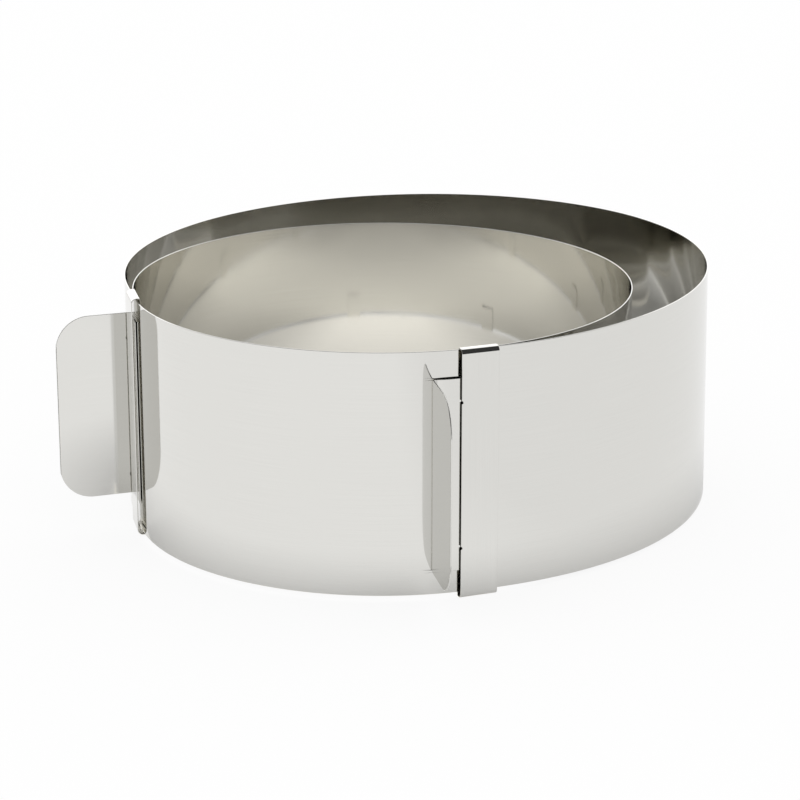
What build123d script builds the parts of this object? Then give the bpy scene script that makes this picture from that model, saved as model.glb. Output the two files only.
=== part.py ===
from build123d import *
from math import cos, degrees, radians, sin
import os

# An adjustable cake ring: one spring strip wound almost twice round, with a folded clip and a
# handle at each of its two ends. Millimetres, +Z up. The origin is on the floor, on the axis of
# the inner loop, and -Y is towards someone who faces the handles. Angles in plan are in degrees
# from +X, anticlockwise from above.

# Strip
band_height = 85.0
band_thickness = 0.4
ring_radius = 89.0
layer_gap = 0.1
end_margin = 3.5
outer_straight = 1.0
inner_straight = 10.1

# Outer loop: arcs that follow each other from the outer clip round the back to the inner clip.
# The last arc takes the turn that is left, and the fitted arcs take the radii that close the loop.
loop_radii = (140.1, 122.0, 116.6, 102.1, 97.3, 121.5, 113.7)
loop_turns = (12.0, 30.0, 45.0, 45.0, 45.0, 45.0)
fitted_arcs = (2, 5)

# Clips. The outer one hangs a little lower on the strip than the inner one.
outer_clip_angle = -68.9
inner_clip_angle = 193.0
clip_width = 13.3
clip_sheet = 0.35
hook_height = 10.5
hook_gap = 0.2
slide_gap = 0.1
rim_gap = 0.8
wall_gap = 0.8
outer_hang = 0.6
hem_radius = 1.9
hook_radius = 0.7
notch_spacing = 51.0
notch_radius = 0.5

# Handles
handle_sheet = 0.4
grip_height = 67.3
grip_depth = 27.0
grip_corner = 12.0
outer_tab_reach = 8.5
inner_tab_reach = 0.5
inner_grip_rise = 1.3
tab_curve = 27.0
tab_margin = 1.0
bend_radius = 0.5
outer_grip_lean = -9.0
inner_grip_lean = 6.0

# Gap between faces that are welded, and how far a cutting shape runs past what it cuts
weld_gap = 0.05
overrun = 0.5

# Heights
clip_height = band_height + 2 * (rim_gap + clip_sheet)
outer_middle = clip_height / 2
inner_middle = outer_middle + outer_hang
band_base = inner_middle - band_height / 2

# Distances from the axis to what lies in a flat clip, along the line through the clip's middle
half_clip = clip_width / 2
inner_layer = ring_radius - (band_thickness + layer_gap) / 2
outer_layer = ring_radius + (band_thickness + layer_gap) / 2
inner_face = inner_layer - band_thickness / 2
hook_outside = (inner_face**2 - half_clip**2) ** 0.5 - hook_gap
hook_inside = hook_outside - clip_sheet
tab_inside = outer_layer + band_thickness / 2 + slide_gap
tab_middle = tab_inside + handle_sheet / 2
wall_outside = tab_inside + handle_sheet + wall_gap + clip_sheet
welded_layer = tab_inside - weld_gap - band_thickness / 2

# Straight stretches of the strip inside and beside the clips
end_length = half_clip - end_margin
outer_lead = half_clip + outer_straight
inner_lead = half_clip + inner_straight


def along(angle):
    """Return the unit plan vector that points along an angle."""
    return Vector(cos(radians(angle)), sin(radians(angle)))


def arc_step(radius, facing, turn):
    """Return the step from start to end of an arc that starts facing an angle and turns left."""
    return along(facing + turn / 2) * (2 * radius * sin(radians(turn) / 2))


def split_step(step, first, second):
    """Return how many times each of two plan vectors makes up a step."""
    area = first.X * second.Y - first.Y * second.X
    return (step.X * second.Y - step.Y * second.X) / area, (first.X * step.Y - first.Y * step.X) / area


def outer_loop():
    """Return the outer loop's (radius, turn) pairs, with the fitted radii that close it."""
    turns = list(loop_turns)
    turns.append(inner_clip_angle - outer_clip_angle - sum(turns))
    radii = list(loop_radii)
    step = along(inner_clip_angle) * outer_layer - along(outer_clip_angle) * welded_layer
    step = step - along(outer_clip_angle + 90) * outer_lead - along(inner_clip_angle + 90) * inner_lead
    fitted_steps = []
    facing = outer_clip_angle + 90
    for index, turn in enumerate(turns):
        if index in fitted_arcs:
            fitted_steps.append(arc_step(1, facing, turn))
        else:
            step = step - arc_step(radii[index], facing, turn)
        facing = facing + turn
    for index, radius in zip(fitted_arcs, split_step(step, *fitted_steps)):
        radii[index] = radius
    return list(zip(radii, turns))


def front_stretch():
    """Return the two (radius, turn) pairs that take the strip from the outer to the inner layer."""
    turn = (outer_clip_angle + 360 - inner_clip_angle) / 2
    facing = inner_clip_angle + 90
    step = along(outer_clip_angle) * inner_layer - along(inner_clip_angle) * outer_layer
    radii = split_step(step, arc_step(1, facing, turn), arc_step(1, facing + turn, turn))
    return [(radius, turn) for radius in radii]


# Strip, from its outer end round the outer loop, across the front and round the inner loop
inner_turn = inner_clip_angle - outer_clip_angle + degrees(end_length / inner_layer)
outer_end = along(outer_clip_angle) * welded_layer
outer_tangent = along(outer_clip_angle + 90)
inner_tangent = along(inner_clip_angle + 90)
strip_length = end_length + outer_lead + inner_lead + inner_layer * radians(inner_turn)

with BuildPart() as band:
    with BuildSketch(Plane.XY.offset(band_base)):
        with BuildLine():
            place = outer_end + outer_tangent * outer_lead
            facing = outer_clip_angle + 90
            Line(outer_end - outer_tangent * end_length, place)
            for radius, turn in outer_loop():
                JernArc(place, along(facing), radius, turn)
                place = place + arc_step(radius, facing, turn)
                facing = facing + turn
                strip_length = strip_length + radius * radians(turn)
                print(f"outer loop arc: radius {radius:.1f}, turn {turn:.1f}")
            Line(place, place + inner_tangent * inner_lead)
            place = place + inner_tangent * inner_lead
            for radius, turn in front_stretch():
                JernArc(place, along(facing), radius, turn)
                place = place + arc_step(radius, facing, turn)
                facing = facing + turn
                strip_length = strip_length + radius * radians(turn)
            CenterArc((0, 0), inner_layer, outer_clip_angle, inner_turn)
        trace(line_width=band_thickness)
    extrude(amount=band_height)
band.part.label = "band"
print(f"strip length {strip_length:.0f}")


def clip_at(angle, middle):
    """Return the flat clip with its middle at an angle and height: a sleeve with hooks over both rims."""
    upright = Plane(origin=(0, 0, middle), x_dir=along(angle), z_dir=along(angle - 90))
    with BuildPart() as clip:
        with BuildSketch(upright):
            with Locations((hook_inside, 0)):
                Rectangle(wall_outside - hook_inside, clip_height, align=(Align.MIN, Align.CENTER))
            fillet(vertices().sort_by(Axis.X)[2:], radius=hem_radius)
            fillet(vertices().sort_by(Axis.X)[:2], radius=hook_radius)
            offset(amount=-clip_sheet, mode=Mode.SUBTRACT)
            with Locations((hook_inside, 0)):
                Rectangle(2 * (clip_sheet + overrun), clip_height - 2 * hook_height, mode=Mode.SUBTRACT)
        extrude(amount=half_clip, both=True)
        edge = along(angle) * wall_outside + along(angle - 90) * half_clip
        with BuildSketch(Plane(origin=edge + Vector(0, 0, middle), z_dir=along(angle), x_dir=(0, 0, 1))):
            with GridLocations(notch_spacing, notch_spacing, 2, 1):
                Circle(notch_radius)
        extrude(amount=clip_sheet + overrun, both=True, mode=Mode.SUBTRACT)
    return clip


def handle_at(angle, middle, lean, reach):
    """Return a clip's handle: a tab that reaches along the strip, and a grip that leans to the clip."""
    bend_middle = bend_radius + handle_sheet / 2
    tab_turn = degrees(reach / tab_curve)
    with BuildPart() as handle:
        foot = Plane(origin=(0, 0, middle - grip_height / 2), x_dir=along(angle), z_dir=(0, 0, 1))
        with BuildSketch(foot):
            with BuildLine():
                tab = Line((tab_middle, half_clip - tab_margin), (tab_middle, -half_clip))
                follow = JernArc(tab @ 1, tab % 1, tab_curve, -tab_turn)
                bend = JernArc(follow @ 1, follow % 1, bend_middle, 90 + lean + tab_turn)
                Line(bend @ 1, bend @ 1 + along(lean) * (grip_depth - bend_middle))
            trace(line_width=handle_sheet)
        extrude(amount=grip_height)
        across = Axis((0, 0, 0), along(angle + lean + 90))
        tip_edges = handle.edges().filter_by(across).sort_by(Axis((0, 0, 0), along(angle + lean)))[-2:]
        fillet(tip_edges, radius=grip_corner)
    return handle


outer_clip = clip_at(outer_clip_angle, outer_middle)
outer_clip.part.label = "outer_clip"
inner_clip = clip_at(inner_clip_angle, inner_middle)
inner_clip.part.label = "inner_clip"
outer_handle = handle_at(outer_clip_angle, outer_middle, outer_grip_lean, outer_tab_reach)
outer_handle.part.label = "outer_handle"
inner_handle = handle_at(inner_clip_angle, inner_middle + inner_grip_rise, inner_grip_lean, inner_tab_reach)
inner_handle.part.label = "inner_handle"

os.makedirs("parts", exist_ok=True)
export_step(band.part, "parts/band.step")
export_step(outer_clip.part, "parts/outer_clip.step")
export_step(inner_clip.part, "parts/inner_clip.step")
export_step(outer_handle.part, "parts/outer_handle.step")
export_step(inner_handle.part, "parts/inner_handle.step")
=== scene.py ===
import logging
from dataclasses import dataclass
from enum import Enum
from math import cos, degrees, pi, radians, sin, tan

import bpy
import numpy as np
from bpy.types import ID, Material, Mesh, Node, NodeSocket, NodeTree, Object
from mathutils import Matrix, Vector


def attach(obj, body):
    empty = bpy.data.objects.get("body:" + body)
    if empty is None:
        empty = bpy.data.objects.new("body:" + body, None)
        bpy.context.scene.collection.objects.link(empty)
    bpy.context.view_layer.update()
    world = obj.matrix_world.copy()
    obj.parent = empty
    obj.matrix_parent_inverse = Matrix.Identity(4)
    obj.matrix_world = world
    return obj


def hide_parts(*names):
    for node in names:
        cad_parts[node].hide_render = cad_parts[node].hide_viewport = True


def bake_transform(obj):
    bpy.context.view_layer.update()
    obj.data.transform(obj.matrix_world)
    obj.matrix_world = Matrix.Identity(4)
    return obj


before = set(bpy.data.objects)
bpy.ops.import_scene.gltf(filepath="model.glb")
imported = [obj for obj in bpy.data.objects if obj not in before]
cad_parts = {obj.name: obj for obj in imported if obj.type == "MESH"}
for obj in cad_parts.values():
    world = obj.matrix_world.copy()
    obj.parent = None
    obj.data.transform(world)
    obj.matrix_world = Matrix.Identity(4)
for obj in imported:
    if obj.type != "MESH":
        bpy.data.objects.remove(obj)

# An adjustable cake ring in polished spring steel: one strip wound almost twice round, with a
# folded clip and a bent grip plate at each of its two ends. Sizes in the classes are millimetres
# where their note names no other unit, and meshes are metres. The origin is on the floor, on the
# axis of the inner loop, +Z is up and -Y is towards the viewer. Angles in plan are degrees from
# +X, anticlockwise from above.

LOG = logging.getLogger("cake_ring")
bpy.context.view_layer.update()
MM = 0.001
TINY = 1e-12
WHITE = (1.0, 1.0, 1.0, 1.0)

Pair = tuple[float, float]
Triple = tuple[float, float, float]


class Body(Enum):
    """The moving bodies that a piece can ride on."""

    STRIP = "band"
    OUTER_GRIP = "outer_grip"
    INNER_GRIP = "inner_grip"


class PathMark(Enum):
    """Names of the values that the points of a sheet and its path carry."""

    RUN = "run"
    LEAN = "lean"
    REACH = "reach"
    BITE = "bite"
    ACROSS = "across"


# Plan geometry


def along(angle: float) -> np.ndarray:
    """Return the unit plan vector that points along an angle in degrees."""
    return np.array([cos(radians(angle)), sin(radians(angle))])


def eased(share: np.ndarray) -> np.ndarray:
    """Return shares, cut to the range from 0 to 1, with a smooth start and end."""
    kept = np.clip(share, 0.0, 1.0)
    return kept * kept * (3.0 - 2.0 * kept)


def blurred(values: np.ndarray, spread: float, widths: int = 4) -> np.ndarray:
    """Return values averaged with their neighbours by a bell curve.

    Args:
        values: The row of values.
        spread: Width of the bell, in steps of the row.
        widths: How many such widths the bell reaches to each side.

    Returns:
        As many values, with the first and last one held past the ends.
    """
    reach = int(widths * spread) + 1
    bell = np.exp(-0.5 * (np.arange(-reach, reach + 1) / spread) ** 2)
    padded = np.concatenate([np.full(reach, values[0]), values, np.full(reach, values[-1])])
    return np.convolve(padded, bell / bell.sum(), "valid")


def walked(start: np.ndarray, facing: float, turns: np.ndarray, step: float) -> np.ndarray:
    """Return the points of a path that is walked in equal steps.

    Args:
        start: First point.
        facing: Direction at the first point, in degrees.
        turns: Turn along each step, in radians.
        step: Length of a step.

    Returns:
        Points, one more than the steps.
    """
    headings = radians(facing) + np.cumsum(turns) - turns / 2
    moves = np.column_stack([np.cos(headings), np.sin(headings)]) * step
    return np.vstack([[start], start + np.cumsum(moves, axis=0)])


def landed(points: np.ndarray, goal: np.ndarray) -> np.ndarray:
    """Return a path whose last point is drawn gently on to a goal."""
    share = eased(np.linspace(0.0, 1.0, len(points)))
    return points + share[:, None] * (goal - points[-1])


def rounded(corners: list[Pair], radii: list[float], turn_step: float) -> np.ndarray:
    """Return a polyline with each inner corner drawn as an arc.

    Args:
        corners: Corners in order.
        radii: One radius for each corner but the first and last.
        turn_step: Largest turn between two points on an arc, in degrees.

    Returns:
        Points along the path.
    """
    places = np.array(corners, float)
    points = [places[0]]
    for before, corner, after, radius in zip(places, places[1:], places[2:], radii):
        arriving = (corner - before) / np.linalg.norm(corner - before)
        leaving = (after - corner) / np.linalg.norm(after - corner)
        left = np.array([-arriving[1], arriving[0]])
        turn = np.arctan2(left @ leaving, arriving @ leaving)
        start = corner - arriving * radius * tan(abs(turn) / 2)
        spoke = -np.sign(turn) * radius * left
        quarter = np.array([-spoke[1], spoke[0]])
        count = max(2, int(np.ceil(abs(degrees(turn)) / turn_step)))
        for part in np.linspace(0.0, turn, count + 1):
            points.append(start - spoke + spoke * cos(part) + quarter * sin(part))
    return np.array([*points, places[-1]])


def distances(points: np.ndarray) -> np.ndarray:
    """Return how far along its path each point lies."""
    steps = np.linalg.norm(np.diff(points, axis=0), axis=1)
    return np.concatenate([[0.0], np.cumsum(steps)])


def merged(*stops: np.ndarray, digits: int = 4) -> np.ndarray:
    """Return several rows of distances as one, in order and with near repeats left out."""
    return np.unique(np.round(np.concatenate(stops), digits))


def resampled(points: np.ndarray, stops: np.ndarray) -> np.ndarray:
    """Return the places at given distances along a path."""
    gone = distances(points)
    return np.column_stack([np.interp(stops, gone, values) for values in points.T])


# Node trees


class NodeSheet:
    """Lays out the nodes of one tree, for a shape, a material or the world."""

    def __init__(self, tree: NodeTree) -> None:
        """Take a tree and empty it."""
        self.tree = tree
        tree.nodes.clear()

    def node(self, kind: str, settings: dict | None = None, **inputs: object) -> Node:
        """Add a node.

        Args:
            kind: The node's type name.
            settings: Values of the node's own properties.
            **inputs: Sockets to link or values to set, by name, or by number after an underscore.

        Returns:
            The node.
        """
        made = self.tree.nodes.new(kind)
        for key, value in (settings or {}).items():
            setattr(made, key, value)
        for key, value in inputs.items():
            label = int(key[1:]) if key[0] == "_" else key.replace("_", " ")
            if isinstance(value, NodeSocket):
                self.tree.links.new(value, made.inputs[label])
            else:
                made.inputs[label].default_value = value
        return made

    def math(self, operation: str, *values: object) -> NodeSocket:
        """Return the result of a sum on sockets or numbers."""
        numbered = {f"_{index}": value for index, value in enumerate(values)}
        return self.node("ShaderNodeMath", {"operation": operation}, **numbered).outputs[0]

    def vectors(self, operation: str, **inputs: object) -> Node:
        """Return the node of a sum on vectors, with inputs as node() takes them."""
        return self.node("ShaderNodeVectorMath", {"operation": operation}, **inputs)

    def spread(
        self, value: object, low: float, high: float, to_low: float, to_high: float
    ) -> NodeSocket:
        """Return a value carried from one range to another, and held at its ends."""
        ends = {"_1": low, "_2": high, "_3": to_low, "_4": to_high}
        return self.node("ShaderNodeMapRange", _0=value, **ends).outputs[0]

    def noise(
        self, place: NodeSocket, scale: float, detail: float, roughness: float = 0.5
    ) -> NodeSocket:
        """Return a cloudy pattern over places, with values from 0 to 1."""
        layers = {"Scale": scale, "Detail": detail, "Roughness": roughness}
        return self.node("ShaderNodeTexNoise", Vector=place, **layers).outputs["Fac"]


# Sheet pieces


@dataclass
class SheetPath:
    """The middle line of a bent sheet, in the plane across its width.

    Attributes:
        points: Points of the line.
        run: Distance along the whole strip at each point.
        lean: How far the far edge of the width stands off from the near one, at each point.
        reach: Share of the full width that the sheet has at each point.
        bite: Depth of a notch in the far edge at each point.
    """

    points: np.ndarray
    run: np.ndarray
    lean: np.ndarray
    reach: np.ndarray
    bite: np.ndarray

    @classmethod
    def plain(cls, points: np.ndarray, run_start: float = 0.0) -> "SheetPath":
        """Return a path of full width, with no lean and no notch.

        Args:
            points: Points of the line.
            run_start: Distance along the strip at the first point.

        Returns:
            The path.
        """
        count = len(points)
        run = run_start + distances(points)
        return cls(points, run, np.zeros((count, 2)), np.ones(count), np.zeros(count))

    def mesh(self, name: str) -> Mesh:
        """Return a mesh of edges that carries the path's values.

        Args:
            name: Name of the mesh.

        Returns:
            The mesh, in metres.
        """
        mesh = bpy.data.meshes.new(name)
        count = len(self.points)
        flat = np.column_stack([self.points, np.zeros(count)]) * MM
        mesh.from_pydata(flat.tolist(), [(i, i + 1) for i in range(count - 1)], [])
        for mark, values in (
            (PathMark.RUN, self.run * MM),
            (PathMark.BITE, self.bite * MM),
            (PathMark.REACH, self.reach),
        ):
            noted = mesh.attributes.new(mark.value, "FLOAT", "POINT")
            noted.data.foreach_set("value", values.astype(np.float32))
        lean = mesh.attributes.new(PathMark.LEAN.value, "FLOAT_VECTOR", "POINT")
        offsets = np.column_stack([self.lean, np.zeros(count)]) * MM
        lean.data.foreach_set("vector", offsets.astype(np.float32).ravel())
        return mesh


class SheetTree(NodeSheet):
    """The Geometry Nodes tree that sweeps a sheet's section along its path.

    The path lies in the XY plane and the sheet's width runs along Z. The tree's inputs are the
    width, the thickness and the material.
    """

    WIDTH = "Width"
    THICKNESS = "Thickness"
    FINISH = "Finish"

    def __init__(self) -> None:
        """Build the tree."""
        super().__init__(bpy.data.node_groups.new("bent_sheet", "GeometryNodeTree"))
        face = self.tree.interface
        face.new_socket("Geometry", in_out="INPUT", socket_type="NodeSocketGeometry")
        for name in (self.WIDTH, self.THICKNESS):
            face.new_socket(name, in_out="INPUT", socket_type="NodeSocketFloat")
        face.new_socket(self.FINISH, in_out="INPUT", socket_type="NodeSocketMaterial")
        face.new_socket("Geometry", in_out="OUTPUT", socket_type="NodeSocketGeometry")
        self.given = self.node("NodeGroupInput").outputs
        placed = self.placed(self.swept())
        smooth = self.node("GeometryNodeSetShadeSmooth", Geometry=placed)
        real = self.node("GeometryNodeRealizeInstances", Geometry=smooth.outputs[0])
        finish = self.given[self.FINISH]
        dressed = self.node("GeometryNodeSetMaterial", Geometry=real.outputs[0], Material=finish)
        self.node("NodeGroupOutput", Geometry=dressed.outputs[0])

    def mark(self, mark: PathMark, kind: str = "FLOAT") -> NodeSocket:
        """Return the value that the path carries under a name, read as a given data type."""
        made = self.node("GeometryNodeInputNamedAttribute", {"data_type": kind}, Name=mark.value)
        return made.outputs["Attribute"]

    def swept(self) -> NodeSocket:
        """Return the sheet of full width, swept along the path.

        Returns:
            The geometry's socket.
        """
        curve = self.node("GeometryNodeMeshToCurve", Mesh=self.given["Geometry"]).outputs[0]
        upright = self.node("GeometryNodeSetCurveNormal", {"mode": "Z_UP"}, Curve=curve)
        section = self.node(
            "GeometryNodeCurvePrimitiveQuadrilateral",
            Width=self.given[self.THICKNESS],
            Height=self.given[self.WIDTH],
        )
        sheet = self.node(
            "GeometryNodeCurveToMesh",
            Curve=upright.outputs[0],
            Profile_Curve=section.outputs[0],
            Fill_Caps=True,
        )
        return sheet.outputs[0]

    def placed(self, sheet: NodeSocket) -> NodeSocket:
        """Return the sheet with its width, notches and lean as the path says.

        Args:
            sheet: The swept sheet.

        Returns:
            The geometry's socket.
        """
        place = self.node("GeometryNodeInputPosition").outputs[0]
        height = self.node("ShaderNodeSeparateXYZ", Vector=place).outputs["Z"]
        noted = self.node(
            "GeometryNodeStoreNamedAttribute",
            {"data_type": "FLOAT", "domain": "POINT"},
            Geometry=sheet,
            Name=PathMark.ACROSS.value,
            Value=height,
        )
        far = self.math("GREATER_THAN", height, 0.0)
        bitten = self.math("MULTIPLY", far, self.mark(PathMark.BITE))
        reached = self.math("MULTIPLY", height, self.mark(PathMark.REACH))
        rise = self.math("SUBTRACT", self.math("SUBTRACT", reached, bitten), height)
        share = self.math("ADD", self.math("DIVIDE", height, self.given[self.WIDTH]), 0.5)
        full = self.mark(PathMark.LEAN, "FLOAT_VECTOR")
        lean = self.vectors("SCALE", Vector=full, Scale=share).outputs[0]
        lift = self.node("ShaderNodeCombineXYZ", Z=rise).outputs[0]
        moved = self.vectors("ADD", _0=lean, _1=lift).outputs[0]
        shaped = self.node("GeometryNodeSetPosition", Geometry=noted.outputs[0], Offset=moved)
        return shaped.outputs[0]

    def socket_id(self, name: str) -> str:
        """Return the identifier of one of the tree's inputs.

        Args:
            name: The input's name.

        Returns:
            The identifier that the modifier uses.
        """
        for item in self.tree.interface.items_tree:
            if item.item_type == "SOCKET" and item.in_out == "INPUT" and item.name == name:
                return item.identifier
        raise KeyError(name)


@dataclass
class SheetMaker:
    """Turns paths into finished sheet pieces.

    Attributes:
        tree: The tree that sweeps the sheet.
        edge_radius: Radius of the deburred edges.
        edge_steps: Faces across a rounded edge.
        edge_angle: Least angle between the faces at a deburred edge, in degrees.
    """

    tree: SheetTree
    edge_radius: float = 0.14
    edge_steps: int = 3
    edge_angle: float = 50.0

    def piece(
        self,
        name: str,
        path: SheetPath,
        width: float,
        thickness: float,
        placing: Matrix,
        material: Material,
    ) -> Object:
        """Return a bent sheet as a plain mesh object.

        Args:
            name: The piece's name.
            path: The sheet's middle line.
            width: Full width, across the path's plane.
            thickness: Thickness of the sheet.
            placing: Matrix from the path's plane to the row frame, in metres.
            material: The finish.

        Returns:
            The object, at the origin, with its place in its mesh.
        """
        line = added(f"{name}_line", path.mesh(f"{name}_line"))
        sweep = line.modifiers.new("sheet", "NODES")
        sweep.node_group = self.tree.tree
        sweep[self.tree.socket_id(SheetTree.WIDTH)] = width * MM
        sweep[self.tree.socket_id(SheetTree.THICKNESS)] = thickness * MM
        sweep[self.tree.socket_id(SheetTree.FINISH)] = material
        bevel = line.modifiers.new("edges", "BEVEL")
        bevel.limit_method = "ANGLE"
        bevel.angle_limit = radians(self.edge_angle)
        bevel.width = self.edge_radius * MM
        bevel.segments = self.edge_steps
        bevel.use_clamp_overlap = False
        shown = line.evaluated_get(bpy.context.evaluated_depsgraph_get())
        mesh = bpy.data.meshes.new_from_object(shown)
        mesh.name = name
        mesh.transform(placing)
        wear_normals(mesh, sheet_normals(mesh))
        bpy.data.objects.remove(line)
        return added(name, mesh)


def added(name: str, data: ID) -> Object:
    """Return a new object that is put in the scene.

    Args:
        name: The object's name.
        data: Its mesh or camera.

    Returns:
        The object.
    """
    made = bpy.data.objects.new(name, data)
    bpy.context.scene.collection.objects.link(made)
    return made


def read(values: bpy.types.bpy_prop_collection, key: str, kind: type, size: int = 1) -> np.ndarray:
    """Return one property of many mesh elements.

    Args:
        values: The elements.
        key: Name of the property.
        kind: Type of its numbers.
        size: How many numbers each element has.

    Returns:
        One number or one row for each element.
    """
    flat = np.empty(len(values) * size, kind)
    values.foreach_get(key, flat)
    return flat.reshape(-1, size) if size > 1 else flat


def sheet_normals(mesh: Mesh) -> np.ndarray:
    """Return a normal for each point of a mesh, from the large faces beside it.

    Args:
        mesh: A closed mesh.

    Returns:
        One row for each point.
    """
    areas = read(mesh.polygons, "area", np.float32)
    pull = read(mesh.polygons, "normal", np.float32, 3) * areas[:, None]
    total = np.zeros((len(mesh.vertices), 3))
    turns = read(mesh.polygons, "loop_total", np.int32)
    np.add.at(total, read(mesh.loops, "vertex_index", np.int32), np.repeat(pull, turns, axis=0))
    return total / np.maximum(np.linalg.norm(total, axis=1, keepdims=True), TINY)


def wear_normals(mesh: Mesh, normals: np.ndarray, cut_face: int | None = None) -> None:
    """Make a mesh smooth, with a given normal at each point.

    Args:
        mesh: A closed mesh.
        normals: One row for each point.
        cut_face: The face where the mesh is cut across, which stays flat.
    """
    mesh.polygons.foreach_set("use_smooth", np.ones(len(mesh.polygons), bool))
    shown = normals[read(mesh.loops, "vertex_index", np.int32)]
    if cut_face is not None:
        face = mesh.polygons[cut_face]
        shown[face.loop_start : face.loop_start + face.loop_total] = face.normal
    mesh.normals_split_custom_set(shown.tolist())


def lid_of(faces: list[tuple[int, ...]]) -> tuple[int, ...]:
    """Return the face that closes a surface with one open rim.

    Args:
        faces: Points of each face of the surface.

    Returns:
        Points of the closing face.
    """
    edges = {(start, end) for face in faces for start, end in zip(face, face[1:] + face[:1])}
    onward = {end: start for start, end in edges if (end, start) not in edges}
    lid = [next(iter(onward))]
    while onward[lid[-1]] != lid[0]:
        lid.append(onward[lid[-1]])
    return tuple(lid)


def parted(whole: Object, place: float, names: tuple[str, str]) -> list[Object]:
    """Cut a sheet across at one of its rows into two closed pieces, with no change at the cut.

    Args:
        whole: The sheet, which is used up.
        place: Distance along the strip at the row, in metres.
        names: Names of the two pieces.

    Returns:
        The piece before the row and the piece after it.
    """
    mesh = whole.data
    normals = sheet_normals(mesh)
    points = read(mesh.vertices, "co", np.float32, 3)
    marks = {
        mark: read(mesh.attributes[mark.value].data, "value", np.float32)
        for mark in (PathMark.RUN, PathMark.ACROSS)
    }
    faces = [tuple(face.vertices) for face in mesh.polygons]
    before = np.array([marks[PathMark.RUN][list(face)].mean() < place for face in faces])
    made = []
    for name, side in zip(names, (before, ~before)):
        kept = [face for face, chosen in zip(faces, side) if chosen]
        used = np.unique(np.concatenate([np.array(face) for face in kept]))
        place_of = {int(old): new for new, old in enumerate(used)}
        closed = [[place_of[old] for old in face] for face in (*kept, lid_of(kept))]
        part = bpy.data.meshes.new(name)
        part.from_pydata(points[used].tolist(), [], closed)
        part.materials.append(mesh.materials[0])
        for mark, values in marks.items():
            noted = part.attributes.new(mark.value, "FLOAT", "POINT")
            noted.data.foreach_set("value", values[used])
        wear_normals(part, normals[used], len(kept))
        made.append(added(name, part))
    bpy.data.objects.remove(whole)
    return made


# The object


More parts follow.
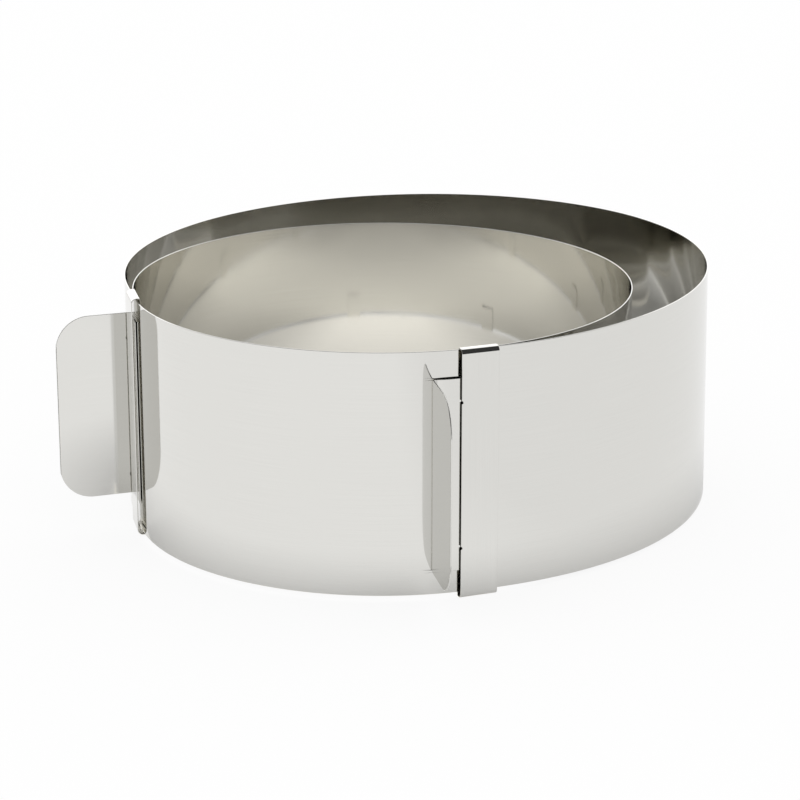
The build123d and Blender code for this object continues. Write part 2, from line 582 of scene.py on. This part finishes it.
@dataclass
class Strip:
    """The spring strip: an outer loop, a front stretch and an inner loop.

    Attributes:
        height: Width of the strip, which stands upright.
        thickness: Thickness of the strip.
        base: Height of its lower edge above the floor.
        inner_layer: Distance from the axis to the middle of the inner layer.
        outer_layer: Distance from the axis to the outer layer in the inner clip.
        welded_layer: Distance from the axis to the outer end in the outer clip.
        outer_angle: Angle of the outer clip.
        inner_angle: Angle of the inner clip.
        outer_lead: Straight stretch that leaves the outer clip.
        inner_lead: Straight stretch that enters the inner clip.
        end_length: How far both ends run past the middle of their clips.
        end_rows: How many rows of faces the outer end has.
        foot_arcs: Radius and turn of each arc of the outer loop at the strip's lower edge.
        rim_arcs: The same at its upper edge, where the spring steel stands in a little.
        seam_share: Where the outer loop's two pieces meet, as a share of the loop's length.
        step: Length of the faces along the strip.
        arc_blur: How far the bends of neighbouring arcs run into each other.
        lead_blur: How far the bend eases off into the straight stretches.
        clip_margin: How far round the ring from a clip's middle the place beside it lies.
        flex_shares: Two places on the line from the axis to the inner clip, as shares of the inner
            layer's distance.
    """

    height: float = 85.0
    thickness: float = 0.4
    base: float = 1.75
    inner_layer: float = 88.75
    outer_layer: float = 89.25
    welded_layer: float = 89.3
    outer_angle: float = -68.9
    inner_angle: float = 193.0
    outer_lead: float = 7.65
    inner_lead: float = 16.75
    end_length: float = 3.15
    end_rows: int = 7
    foot_arcs: tuple[Pair, ...] = (
        (140.1, 12.0), (122.0, 30.0), (116.6, 45.0), (102.1, 45.0),
        (97.3, 45.0), (121.5, 45.0), (113.7, 39.9),
    )
    rim_arcs: tuple[Pair, ...] = (
        (105.0, 12.0), (139.5, 30.0), (114.9, 45.0), (97.9, 45.0),
        (100.1, 45.0), (119.9, 45.0), (115.9, 30.0), (110.9, 9.9),
    )
    seam_share: float = 0.5
    step: float = 0.9
    arc_blur: float = 20.0
    lead_blur: float = 4.0
    clip_margin: float = 10.0
    flex_shares: Pair = (-0.4, 0.985)

    def outer_line(self, arcs: tuple[Pair, ...]) -> np.ndarray:
        """Return the outer loop from its welded end to the middle of the inner clip.

        Args:
            arcs: Radius and turn of each arc.

        Returns:
            Points in plan, as many for any list of arcs.
        """
        ends = np.cumsum([0.0] + [radius * radians(turn) for radius, turn in arcs])
        count = int(self.loop_length() / self.step)
        step = ends[-1] / count
        middles = (np.arange(count) + 0.5) * step
        radii = np.array([radius for radius, _ in arcs])
        arc_at = np.searchsorted(ends, middles, side="right") - 1
        bends = 1.0 / radii[np.clip(arc_at, 0, len(arcs) - 1)]
        bends = blurred(bends, self.arc_blur / step)
        leads = [np.zeros(round(lead / self.step)) for lead in (self.outer_lead, self.inner_lead)]
        bends = blurred(np.concatenate([leads[0], bends, leads[1]]), self.lead_blur / step)
        whole = radians(self.inner_angle - self.outer_angle)
        start = along(self.outer_angle) * self.welded_layer
        line = walked(start, self.outer_angle + 90, bends * whole / bends.sum(), step)
        line = landed(line, along(self.inner_angle) * self.outer_layer)
        end = start - along(self.outer_angle + 90) * self.end_length
        return np.vstack([np.linspace(end, start, self.end_rows + 1)[:-1], line])

    def loop_length(self) -> float:
        """Return the length of the outer loop's arcs at the strip's lower edge."""
        return sum(radius * radians(turn) for radius, turn in self.foot_arcs)

    def outer_path(self) -> SheetPath:
        """Return the outer loop, with the lean of the strip's upper edge.

        Returns:
            The path, from the strip's outer end to the middle of the inner clip.
        """
        foot = self.outer_line(self.foot_arcs)
        path = SheetPath.plain(foot)
        path.lean = self.outer_line(self.rim_arcs) - foot
        return path

    def inner_path(self, run_start: float) -> SheetPath:
        """Return the front stretch and the inner loop as one line.

        Args:
            run_start: Length of strip before it.

        Returns:
            The path, from the middle of the inner clip to the strip's inner end.
        """
        front = self.outer_angle + 360 - self.inner_angle
        tail = degrees(self.end_length / self.inner_layer)
        turns = np.arange(0.0, 360 + tail, degrees(self.step / self.inner_layer))
        drop = eased(turns / front) * (self.outer_layer - self.inner_layer)
        radii = self.outer_layer - drop
        angles = np.radians(self.inner_angle + turns)
        points = np.column_stack([np.cos(angles), np.sin(angles)]) * radii[:, None]
        return SheetPath.plain(points, run_start)

    def placing(self) -> Matrix:
        """Return the matrix that lifts the strip's middle to its height."""
        return Matrix.Translation((0, 0, (self.base + self.height / 2) * MM))

    def beside(self, angle: float, side: int) -> np.ndarray:
        """Return a place on the outer layer beside a clip, anticlockwise of it if side is 1."""
        return along(angle) * self.outer_layer + along(angle + 90) * side * self.clip_margin

    def build(self, maker: SheetMaker, material: Material) -> list[Object]:
        """Build the strip's three pieces: the outer loop, cut in two at its seam, and the front
        stretch with the inner loop.

        Args:
            maker: Makes the sheets.
            material: The strip's finish.

        Returns:
            The pieces.
        """
        outer = self.outer_path()
        seam = int(len(outer.points) * self.seam_share)
        inner = self.inner_path(outer.run[-1])
        whole, loop = (
            maker.piece(name, path, self.height, self.thickness, self.placing(), material)
            for name, path in (("strip_outer", outer), ("strip_inner", inner))
        )
        names = ("strip_outer_right", "strip_outer_left")
        right, left = parted(whole, outer.run[seam] * MM, names)
        meeting = outer.points[seam]
        toward = along(self.inner_angle) * self.inner_layer
        still, full = (toward * share for share in self.flex_shares)
        for piece, grip, start, end in (
            (right, Body.OUTER_GRIP, meeting, self.beside(self.outer_angle, 1)),
            (left, Body.INNER_GRIP, meeting, self.beside(self.inner_angle, -1)),
            (loop, Body.INNER_GRIP, still, full),
        ):
            ends = (tuple(place * MM) + (0.0,) for place in (start, end))
            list(ends)
            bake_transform(piece)
            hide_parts("band")
        return [right, left, loop]


@dataclass
class SlidingClip:
    """A folded clip: a flat sleeve with rolled hems that hook over both edges of the strip.

    Attributes:
        angle: Angle of its middle in plan.
        base: Height of its underside above the floor.
        width: Width round the ring.
        sheet: Thickness of its sheet.
        height: Overall height.
        hook_height: How far the hooks reach down and up inside.
        hook_inside: Distance from the axis to the hooks' inner face.
        wall_outside: Distance from the axis to the wall's outer face.
        hem_radius: Outer radius of the hems on the wall's side.
        hook_radius: Outer radius of the hems on the hooks' side.
        hem_step: Largest turn between two rows of points in a hem, in degrees.
        row_pitch: Largest distance between two rows of points elsewhere.
        notch_spacing: Distance between the two small notches.
        notch_radius: Radius of a notch.
        notch_rows: How many rows of points a notch has.
    """

    angle: float
    base: float
    width: float = 13.3
    sheet: float = 0.35
    height: float = 87.3
    hook_height: float = 10.5
    hook_inside: float = 87.75
    wall_outside: float = 91.1
    hem_radius: float = 1.9
    hook_radius: float = 0.7
    hem_step: float = 4.0
    row_pitch: float = 2.0
    notch_spacing: float = 51.0
    notch_radius: float = 0.5
    notch_rows: int = 13

    def path(self) -> SheetPath:
        """Return the sleeve's middle line, with x outwards and y up.

        Returns:
            The path, with its notches.
        """
        half = self.sheet / 2
        hook, wall = self.hook_inside + half, self.wall_outside - half
        roll, curl = self.hem_radius - half, self.hook_radius - half
        lower = [(hook, self.hook_height), (hook, half), (wall, half)]
        corners = lower + [(out, self.height - up) for out, up in reversed(lower)]
        line = rounded(corners, [curl, roll, roll, curl], self.hem_step)
        path = SheetPath.plain(resampled(line, self.stops(line)))
        for sign in (-1, 1):
            level = self.height / 2 + sign * self.notch_spacing / 2
            off = np.where(path.points[:, 0] > wall - half, path.points[:, 1] - level, np.inf)
            path.bite += np.sqrt(np.maximum(self.notch_radius**2 - off**2, 0.0))
        return path

    def stops(self, line: np.ndarray) -> np.ndarray:
        """Return the distances at which the sleeve gets its rows of points.

        Args:
            line: The sleeve's middle line.

        Returns:
            Distances, closer together in the hems and at the notches.
        """
        gone = distances(line)
        near = np.linspace(-self.notch_radius, self.notch_radius, self.notch_rows)
        notches = [gone[-1] / 2 + sign * self.notch_spacing / 2 + near for sign in (-1, 1)]
        rows = np.arange(self.row_pitch, gone[-1] - self.row_pitch, self.row_pitch)
        return merged(gone, rows, *notches)

    def placing(self) -> Matrix:
        """Return the matrix that stands the sleeve up at its angle.

        Returns:
            The matrix, in metres.
        """
        out = Vector((*along(self.angle), 0.0))
        up = Vector((0.0, 0.0, 1.0))
        matrix = Matrix.Translation(up * self.base * MM)
        for column, axis in enumerate((out, up, out.cross(up))):
            for row in range(3):
                matrix[row][column] = axis[row]
        return matrix

    def build(self, name: str, body: Body, maker: SheetMaker, material: Material) -> Object:
        """Build the clip.

        Args:
            name: Name of the CAD node that it stands for.
            body: The body that it rides on.
            maker: Makes the sheet.
            material: The clip's finish.

        Returns:
            The piece.
        """
        called = f"{name}_sleeve"
        piece = maker.piece(called, self.path(), self.width, self.sheet, self.placing(), material)
        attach(piece, body.value)
        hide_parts(name)
        return piece


@dataclass
class GripPlate:
    """A grip: a tab under the clip's wall that is bent out into a flat plate.

    Attributes:
        angle: Angle of its clip in plan.
        middle_height: Height of the plate's middle.
        lean: How far the plate leans towards the clip, in degrees.
        reach: How far the tab follows the strip past the clip's edge.
        clip_width: Width of the clip.
        sheet: Thickness of its sheet.
        height: Height of the plate.
        depth: How far it stands out.
        corner: Radius of its two free corners.
        tab_middle: Distance from the axis to the middle of the tab's sheet.
        tab_start: Where the tab starts, from the middle of the clip.
        tab_curve: Radius of the tab past the clip's edge.
        bend_radius: Radius inside the bend.
        tab_pitch: Largest distance between two rows of points on the tab's curve.
        plate_pitch: Largest distance between two rows of points on the plate.
        bend_rows: How many rows of points the bend has.
        corner_rows: How many rows of points the free corners have.
    """

    angle: float
    middle_height: float
    lean: float
    reach: float
    clip_width: float = 13.3
    sheet: float = 0.4
    height: float = 67.3
    depth: float = 27.0
    corner: float = 12.0
    tab_middle: float = 89.75
    tab_start: float = 5.65
    tab_curve: float = 27.0
    bend_radius: float = 0.5
    tab_pitch: float = 0.5
    plate_pitch: float = 1.5
    bend_rows: int = 19
    corner_rows: int = 40

    def line(self) -> np.ndarray:
        """Return the plate's middle line, with x outwards and y round the ring.

        Returns:
            Points from the tab's hidden end to the plate's tip.
        """
        bend = self.bend_radius + self.sheet / 2
        tab_turn = self.reach / self.tab_curve
        sweep = np.linspace(0.0, tab_turn, 2 + int(self.reach / self.tab_pitch))
        centre = np.array([self.tab_middle - self.tab_curve, -self.clip_width / 2])
        tab = centre + self.tab_curve * np.column_stack([np.cos(sweep), -np.sin(sweep)])
        pivot = tab[-1] + bend * np.array([cos(tab_turn), -sin(tab_turn)])
        spokes = np.linspace(-tab_turn, radians(90 + self.lean), self.bend_rows)
        curve = pivot - bend * np.column_stack([np.cos(spokes), np.sin(spokes)])
        tip = curve[-1] + along(self.lean) * (self.depth - bend)
        return np.vstack([[self.tab_middle, self.tab_start], tab, curve[1:], tip])

    def path(self) -> SheetPath:
        """Return the plate's path, which loses height where its free corners are round.

        Returns:
            The path, with its rows of points.
        """
        line = self.line()
        gone = distances(line)
        corner_start = gone[-1] - self.corner
        rows = np.arange(self.plate_pitch, corner_start, self.plate_pitch)
        rise = np.sin(np.linspace(0.0, pi / 2, self.corner_rows))
        stops = merged(gone, rows, corner_start + self.corner * rise)
        path = SheetPath.plain(resampled(line, stops))
        past = np.clip(stops - corner_start, 0.0, self.corner)
        half = self.height / 2
        rounding = np.sqrt(np.maximum(self.corner**2 - past**2, 0.0))
        path.reach = (half - self.corner + rounding) / half
        return path

    def placing(self) -> Matrix:
        """Return the matrix that turns the plate to its angle and lifts it."""
        lifted = Matrix.Translation((0, 0, self.middle_height * MM))
        return lifted @ Matrix.Rotation(radians(self.angle), 4, "Z")

    def build(self, name: str, body: Body, maker: SheetMaker, material: Material) -> Object:
        """Build the grip.

        Args:
            name: Name of the CAD node that it stands for.
            body: The body that it rides on.
            maker: Makes the sheet.
            material: The grip's finish.

        Returns:
            The piece.
        """
        called = f"{name}_plate"
        piece = maker.piece(called, self.path(), self.height, self.sheet, self.placing(), material)
        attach(piece, body.value)
        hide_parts(name)
        return piece


# Finishes


@dataclass(frozen=True)
class PolishedSteel:
    """Polished stainless sheet, with the marks of rolling and handling.

    Attributes:
        name: Name of the material.
        tint: Colour of the steel.
        sheen: Roughness of the clean, polished surface.
        dull: Roughness that smears add.
        fine_share: Share of that roughness which rolling lines add, and specks too.
        grain_pitch: Distance between rolling lines across the sheet.
        grain_length: Length of the rolling lines.
        grain_depth: Depth of the rolling lines.
        grain_range: Values of the grain between which it turns from clean to dull.
        shade_range: Values of the grain between which it turns from dark to light.
        shades: Those two shades, as shares of the tint.
        wave_size: Length of the slow waves along the sheet.
        wave_ratio: That length as a share of their length across the sheet.
        wave_depth: Depth of those waves.
        smear_scale: How many smears there are to a metre.
        smear_range: Values of the smears' pattern between which it turns from clean to dull.
        speck_scale: How many specks there are to a metre.
        speck_range: The same for the specks.
        edge_place: Where the sheared edges lie, from the middle of the sheet's width.
        edge_margin: How far the edges' roughness reaches on to the face.
        edge_rough: Roughness that the sheared edges add.
    """

    name: str
    tint: Triple
    sheen: float = 0.04
    dull: float = 0.05
    fine_share: float = 0.5
    grain_pitch: float = 0.25
    grain_length: float = 40.0
    grain_depth: float = 0.0004
    grain_range: Pair = (0.35, 0.75)
    shade_range: Pair = (0.2, 0.8)
    shades: Pair = (0.97, 1.02)
    wave_size: float = 60.0
    wave_ratio: float = 0.35
    wave_depth: float = 0.015
    smear_scale: float = 28.0
    smear_range: Pair = (0.5, 0.75)
    speck_scale: float = 900.0
    speck_range: Pair = (0.6, 0.8)
    edge_place: float = 42.5
    edge_margin: float = 0.05
    edge_rough: float = 0.0

    def material(self) -> Material:
        """Return the steel as a node material.

        Returns:
            The material.
        """
        made = bpy.data.materials.new(self.name)
        made.use_nodes = True
        sheet = NodeSheet(made.node_tree)
        run, across = (
            sheet.node("ShaderNodeAttribute", {"attribute_name": mark.value}).outputs["Fac"]
            for mark in (PathMark.RUN, PathMark.ACROSS)
        )
        lines, slow = (
            sheet.node(
                "ShaderNodeCombineXYZ",
                X=sheet.math("MULTIPLY", run, 1 / (length * MM)),
                Y=sheet.math("MULTIPLY", across, 1 / (pitch * MM)),
            ).outputs[0]
            for length, pitch in (
                (self.grain_length, self.grain_pitch),
                (self.wave_size, self.wave_size / self.wave_ratio),
            )
        )
        surface = sheet.node("ShaderNodeTexCoord").outputs["Object"]
        grain = sheet.noise(lines, scale=1.0, detail=4.0, roughness=0.6)
        wave = sheet.noise(slow, scale=1.0, detail=1.0)
        smears = sheet.noise(surface, self.smear_scale, detail=6.0, roughness=0.62)
        specks = sheet.noise(surface, self.speck_scale, detail=2.0)
        rough = self.sheen
        for pattern, ends, most in (
            (smears, self.smear_range, self.dull),
            (grain, self.grain_range, self.dull * self.fine_share),
            (specks, self.speck_range, self.dull * self.fine_share),
        ):
            rough = sheet.math("ADD", rough, sheet.spread(pattern, *ends, 0.0, most))
        off = sheet.math("ABSOLUTE", across)
        edge = sheet.math("GREATER_THAN", off, (self.edge_place - self.edge_margin) * MM)
        rough = sheet.math("MULTIPLY_ADD", edge, self.edge_rough, rough)
        shade = sheet.spread(grain, *self.shade_range, *self.shades)
        colour = sheet.vectors("SCALE", _0=self.tint, Scale=shade).outputs[0]
        waves = sheet.node("ShaderNodeBump", Distance=self.wave_depth * MM, Height=wave).outputs[0]
        depth = self.grain_depth * MM
        relief = sheet.node("ShaderNodeBump", Distance=depth, Height=grain, Normal=waves).outputs[0]
        looks = {"Base_Color": colour, "Metallic": 1.0, "Roughness": rough, "Normal": relief}
        shader = sheet.node("ShaderNodeBsdfPrincipled", **looks)
        sheet.node("ShaderNodeOutputMaterial", Surface=shader.outputs[0])
        return made


# Studio


class FloorSheet(NodeSheet):
    """The floor's nodes, with what they know of a ray that meets it.

    Attributes:
        rays: What kind of ray it is.
        place: Where it lands.
        right: How far to the right of the axis that is.
        behind: How far behind the axis it is.
        away: How far from the axis it is.
        mirrored: 1 where the ray comes off the steel.
        within: 1 where it also lands inside the ring.
    """

    def __init__(self, tree: NodeTree, ring_radius: float) -> None:
        """Build the nodes that tell these values.

        Args:
            tree: The floor's node tree.
            ring_radius: Where the floor inside the ring ends, in metres.
        """
        super().__init__(tree)
        self.rays = self.node("ShaderNodeLightPath").outputs
        self.place = self.node("ShaderNodeTexCoord").outputs["Object"]
        parts = self.node("ShaderNodeSeparateXYZ", Vector=self.place).outputs
        self.right, self.behind = parts["X"], parts["Y"]
        self.away = self.vectors("LENGTH", _0=self.place).outputs["Value"]
        glossy, clear = self.rays["Is Glossy Ray"], self.rays["Is Transmission Ray"]
        self.mirrored = self.math("MAXIMUM", glossy, clear)
        inside = self.math("LESS_THAN", self.away, ring_radius)
        self.within = self.math("MULTIPLY", self.mirrored, inside)


@dataclass
class Studio:
    """The pale floor, the soft light round it and the camera.

    The camera sees the floor as white under the object's soft shadow. What the steel mirrors of
    the floor is painted light and painted shade: there the floor glows by place and by bounce,
    darker at the loops' foot, brighter between the loops, bright at the front of the inside of the
    ring and warm there, and dimmer to the right and after the first bounce. A glow is the share of
    that painted white at a place, and a light is its strength.

    Attributes:
        floor_size: Side of the floor, in metres.
        floor_drop: How far it lies under the object, in metres.
        floor_grey: How light its surface is.
        seen_glow: Share of plain white in what the camera sees of it.
        right_light: Strength of the painted white on the far right, dimmer there as painted shade.
        right_places: Where it starts and stops to dim, as distances to the right in metres.
        later_light: Strength of the painted white from the second bounce on, a painted shade,
            before that dimming.
        bounce_depth: Ray depth above which a ray has bounced more than once.
        foot_glow: Glow at the loops' foot, kept low as painted shade, so that more of the matte
            floor's real shadow shows there.
        far_glow: Glow further off.
        far_reach: Where that is reached, in ring radii from the axis.
        gap_glow: Painted light that the gap between the loops adds to foot_glow on the left and on
            the right.
        gap_places: Where that starts and is full, as distances to either side in metres.
        inside_glow: Glow inside the ring.
        inside_light: Strength of the painted light from the floor inside the ring, at its front,
            behind its middle and at its back.
        inside_places: Those three places, as distances behind the axis in metres.
        inside_sides: How much of that light is left at the sides.
        side_places: Where it starts and stops to fall off, as distances to either side in metres.
        inside_tint: Warm colour of that painted light, as if it had met the steel before.
        ring_radius: Where the floor inside the ring ends, in metres.
        loop_middle: Middle of the outer loop, in metres.
        loop_extra: How much larger its radius is than the ring's, in metres.
        dome: Strength of the even light from all round.
        dark: Grey of the room behind and above the camera, as the steel shows it.
        screen: Strength of the lit backdrop behind the object, as the steel shows it.
        screen_edge: Where dark ends and screen starts, from 0 at the sides to 1 behind.
        bounces: How many times light may bounce between the loops.
        camera_place: Place of the camera.
        camera_drop: How far it looks down, in radians.
        lens: Focal length.
        sensor: Width of the camera's sensor.
        clip_range: Least and largest distance that it shows, in metres.
    """

    floor_size: float = 12.0
    floor_drop: float = 0.00005
    floor_grey: float = 0.92
    seen_glow: float = 0.9
    right_light: float = 0.93
    right_places: Pair = (0.03, 0.12)
    later_light: float = 0.82
    bounce_depth: float = 1.5
    foot_glow: float = 0.18
    far_glow: float = 0.95
    far_reach: float = 1.5
    gap_glow: Pair = (0.7, 0.33)
    gap_places: Pair = (0.06, 0.1)
    inside_glow: float = 0.6
    inside_light: Triple = (1.4, 0.88, 0.76)
    inside_places: Triple = (-0.08, 0.02, 0.07)
    inside_sides: float = 0.82
    side_places: Pair = (0.04, 0.075)
    inside_tint: tuple[float, float, float, float] = (1.0, 0.97, 0.89, 1.0)
    ring_radius: float = 0.09
    loop_middle: Triple = (0.009, 0.028, 0.0)
    loop_extra: float = 0.022
    dome: float = 1.05
    dark: float = 0.04
    screen: float = 1.45
    screen_edge: Pair = (0.2, 0.42)
    bounces: int = 12
    camera_place: Triple = (6.216, -944.68, 339.46)
    camera_drop: float = 0.3044
    lens: float = 123.213
    sensor: float = 36.0
    clip_range: Pair = (0.01, 50.0)

    def build(self) -> None:
        """Build the floor, the world and the camera."""
        self.floor()
        self.world()
        self.camera()
        cycles = bpy.context.scene.cycles
        cycles.max_bounces = cycles.glossy_bounces = self.bounces

    def floor(self) -> None:
        """Build the floor, just under the object."""
        half = self.floor_size / 2
        mesh = bpy.data.meshes.new("floor")
        corners = [(-half, -half), (half, -half), (half, half), (-half, half)]
        mesh.from_pydata([(x, y, -self.floor_drop) for x, y in corners], [], [(0, 1, 2, 3)])
        made = added("floor", mesh)
        material = bpy.data.materials.new("floor")
        material.use_nodes = True
        sheet = FloorSheet(material.node_tree, self.ring_radius)
        # Painted warm light: rays off the steel that land inside the ring see the floor's white
        # tinted.
        colour = sheet.node(
            "ShaderNodeMix", {"data_type": "RGBA"}, _0=sheet.within, _6=WHITE, _7=self.inside_tint
        )
        light = self.floor_light(sheet)
        glow = sheet.node("ShaderNodeEmission", Color=colour.outputs[2], Strength=light)
        matt = sheet.node("ShaderNodeBsdfDiffuse", Color=(self.floor_grey,) * 3 + (1.0,))
        seen = sheet.rays["Is Camera Ray"]
        share = sheet.math("MULTIPLY_ADD", seen, self.seen_glow, self.floor_glow(sheet))
        mixed = sheet.node("ShaderNodeMixShader", _0=share, _1=matt.outputs[0], _2=glow.outputs[0])
        sheet.node("ShaderNodeOutputMaterial", Surface=mixed.outputs[0])
        mesh.materials.append(material)

    def floor_light(self, sheet: FloorSheet) -> NodeSocket:
        """Return the strength of the floor's white, by place and kind of ray, with painted light
        and shade for rays off the steel.

        Args:
            sheet: The floor's nodes.

        Returns:
            The output socket.
        """
        first, second, third = self.inside_light
        front, middle, back = self.inside_places
        near = sheet.spread(sheet.behind, front, middle, first, second)
        rest = sheet.spread(sheet.behind, middle, back, 0.0, third - second)
        beside = sheet.math("ABSOLUTE", sheet.right)
        fall = sheet.spread(beside, *self.side_places, 1.0, self.inside_sides)
        inside = sheet.math("MULTIPLY", sheet.math("ADD", near, rest), fall)
        dimmed = sheet.spread(sheet.right, *self.right_places, 0.0, self.right_light - 1.0)
        around = sheet.math("MULTIPLY_ADD", sheet.mirrored, dimmed, 1.0)
        later = sheet.math("GREATER_THAN", sheet.rays["Ray Depth"], self.bounce_depth)
        later = sheet.math("MULTIPLY", sheet.mirrored, later)
        around = sheet.math("MULTIPLY_ADD", later, self.later_light - 1.0, around)
        more = sheet.math("SUBTRACT", inside, around)
        return sheet.math("MULTIPLY_ADD", sheet.within, more, around)

    def floor_glow(self, sheet: FloorSheet) -> NodeSocket:
        """Return the share of white in what the steel mirrors of the floor, by place: painted shade
        at the loops' foot and painted light between them and inside the ring.

        Args:
            sheet: The floor's nodes.

        Returns:
            The output socket.
        """
        off = sheet.vectors("DISTANCE", _0=sheet.place, _1=self.loop_middle).outputs["Value"]
        clear = sheet.math("MINIMUM", sheet.away, sheet.math("SUBTRACT", off, self.loop_extra))
        far = self.ring_radius * self.far_reach
        around = sheet.spread(clear, self.ring_radius, far, self.foot_glow, self.far_glow)
        left, right = (
            sheet.spread(sheet.math("MULTIPLY", sheet.right, sign), *self.gap_places, 0.0, most)
            for sign, most in zip((-1.0, 1.0), self.gap_glow)
        )
        enclosed = sheet.math("LESS_THAN", off, self.ring_radius + self.loop_extra)
        around = sheet.math("MULTIPLY_ADD", enclosed, sheet.math("ADD", left, right), around)
        more = sheet.math("SUBTRACT", self.inside_glow, around)
        more = sheet.math("MULTIPLY", sheet.within, more)
        return sheet.math("MULTIPLY_ADD", sheet.mirrored, around, more)

    def world(self) -> None:
        """Build the even light, with the darker room that the steel reflects."""
        world = bpy.data.worlds.new("studio")
        bpy.context.scene.world = world
        world.use_nodes = True
        sheet = NodeSheet(world.node_tree)
        way = sheet.node("ShaderNodeTexCoord").outputs["Generated"]
        back = sheet.node("ShaderNodeSeparateXYZ", Vector=way).outputs["Y"]
        room = sheet.spread(back, *self.screen_edge, self.dark, self.screen)
        plain, mirrored = (
            sheet.node("ShaderNodeBackground", Color=WHITE, Strength=strength).outputs[0]
            for strength in (self.dome, room)
        )
        glossy = sheet.node("ShaderNodeLightPath").outputs["Is Glossy Ray"]
        mixed = sheet.node("ShaderNodeMixShader", _0=glossy, _1=plain, _2=mirrored)
        sheet.node("ShaderNodeOutputWorld", Surface=mixed.outputs[0])

    def camera(self) -> None:
        """Build the camera at the photograph's angle."""
        data = bpy.data.cameras.new("camera")
        data.sensor_width = self.sensor
        data.lens = self.lens
        data.clip_start, data.clip_end = self.clip_range
        made = added("camera", data)
        made.location = Vector(self.camera_place) * MM
        made.rotation_euler = (pi / 2 - self.camera_drop, 0.0, 0.0)
        bpy.context.scene.camera = made
        bpy.context.scene.view_settings.view_transform = "Standard"


def main() -> None:
    """Build the studio and the object, and report each piece."""
    logging.basicConfig(level=logging.INFO, format="%(name)s: %(message)s")
    Studio().build()
    steel = (0.745, 0.738, 0.709)
    band_steel = PolishedSteel("strip_steel", steel).material()
    clip_steel = PolishedSteel("clip_steel", steel, wave_depth=0.004).material()
    grip_edges = {"edge_place": GripPlate.height / 2, "edge_rough": 0.5}
    grip_steel = PolishedSteel("grip_steel", steel, wave_depth=0.008, **grip_edges).material()
    maker = SheetMaker(SheetTree())
    strip = Strip()
    pieces = strip.build(maker, band_steel)
    for name, body, clip, middle_height, lean, reach in (
        ("outer", Body.OUTER_GRIP, SlidingClip(strip.outer_angle, base=0.0), 43.65, -9.0, 8.5),
        ("inner", Body.INNER_GRIP, SlidingClip(strip.inner_angle, base=0.6), 45.55, 6.0, 0.5),
    ):
        grip = GripPlate(clip.angle, middle_height, lean, reach)
        pieces.append(clip.build(f"{name}_clip", body, maker, clip_steel))
        pieces.append(grip.build(f"{name}_handle", body, maker, grip_steel))
    for piece in pieces:
        LOG.info("%s: %d faces", piece.name, len(piece.data.polygons))


if __name__ == "__main__":
    main()
